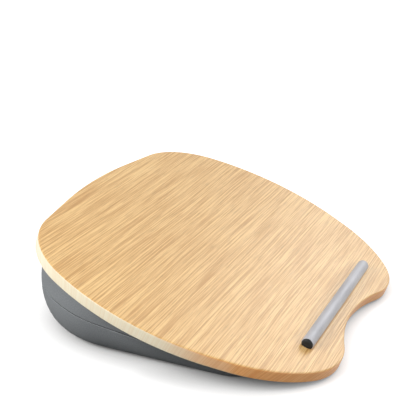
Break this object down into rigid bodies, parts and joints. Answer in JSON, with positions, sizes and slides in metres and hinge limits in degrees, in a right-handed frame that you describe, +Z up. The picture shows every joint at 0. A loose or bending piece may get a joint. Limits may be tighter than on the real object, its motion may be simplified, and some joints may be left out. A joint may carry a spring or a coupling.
{
  "type": "lap desk",
  "caption": "Lap desk: a thin wood-grain board with a wavy outline and a silver stopper bar, held by hook-and-loop tape on a grey wedge cushion with a zip in its rear seam.",
  "frame": {"origin": "on the floor under the middle of the desk, at the bottom centre of its box", "axes": "+X to the user's right, +Y away from the user towards the higher rear edge, +Z up"},
  "size_m": [0.407, 0.3042, 0.0872],
  "materials": {
    "wood_grain": "satin light oak grain",
    "fibreboard": "raw fibreboard",
    "backing_sheet": "matt backing foil",
    "silver_bar": "satin",
    "adhesive": "double-sided tape",
    "hook_tape": "stiff hooks",
    "loop_tape": "soft loops",
    "foam": "open foam",
    "cushion_fabric": "smooth grey fabric",
    "zip_tape": "woven tape",
    "zip_teeth": "moulded",
    "zip_metal": "nickel plated"
  },
  "bodies": {
    "cushion": {"foam_wedge": "foam", "cushion_top_panel": "cushion_fabric", "cushion_upper_band": "cushion_fabric", "cushion_lower_panel": "cushion_fabric", "loop_strip_rear_left": "loop_tape", "loop_strip_rear_right": "loop_tape", "loop_strip_front_left": "loop_tape", "loop_strip_front_right": "loop_tape", "zip_tape_upper": "zip_tape", "zip_tape_lower": "zip_tape", "zip_teeth_upper": "zip_teeth", "zip_teeth_lower": "zip_teeth", "zip_stop_left": "zip_metal", "zip_stop_right": "zip_metal"},
    "board": {"wood_grain_wrap": "wood_grain", "board_core": "fibreboard", "underside_backing": "backing_sheet", "stopper_bar": "silver_bar", "stopper_adhesive_strip": "adhesive", "hook_strip_rear_left": "hook_tape", "hook_strip_rear_right": "hook_tape", "hook_strip_front_left": "hook_tape", "hook_strip_front_right": "hook_tape"},
    "slider": {"zip_slider": "zip_metal"},
    "pull_tab": {"zip_pull_tab": "zip_metal"}
  },
  "joints": [
    {"name": "board_lift", "type": "slide", "parent": "cushion", "child": "board", "axis": [0, -0.2436, 0.9699], "range_m": [0, 0.06]},
    {"name": "zip_travel", "type": "slide", "parent": "cushion", "child": "slider", "axis": [-1, 0, 0], "range_m": [0, 0.168]},
    {"name": "pull_tab_swing", "type": "hinge", "parent": "slider", "child": "pull_tab", "pos_m": [0.0842, 0.13978, 0.04363], "axis": [0, 0, -1], "range_deg": [0, 175]}
  ]
}
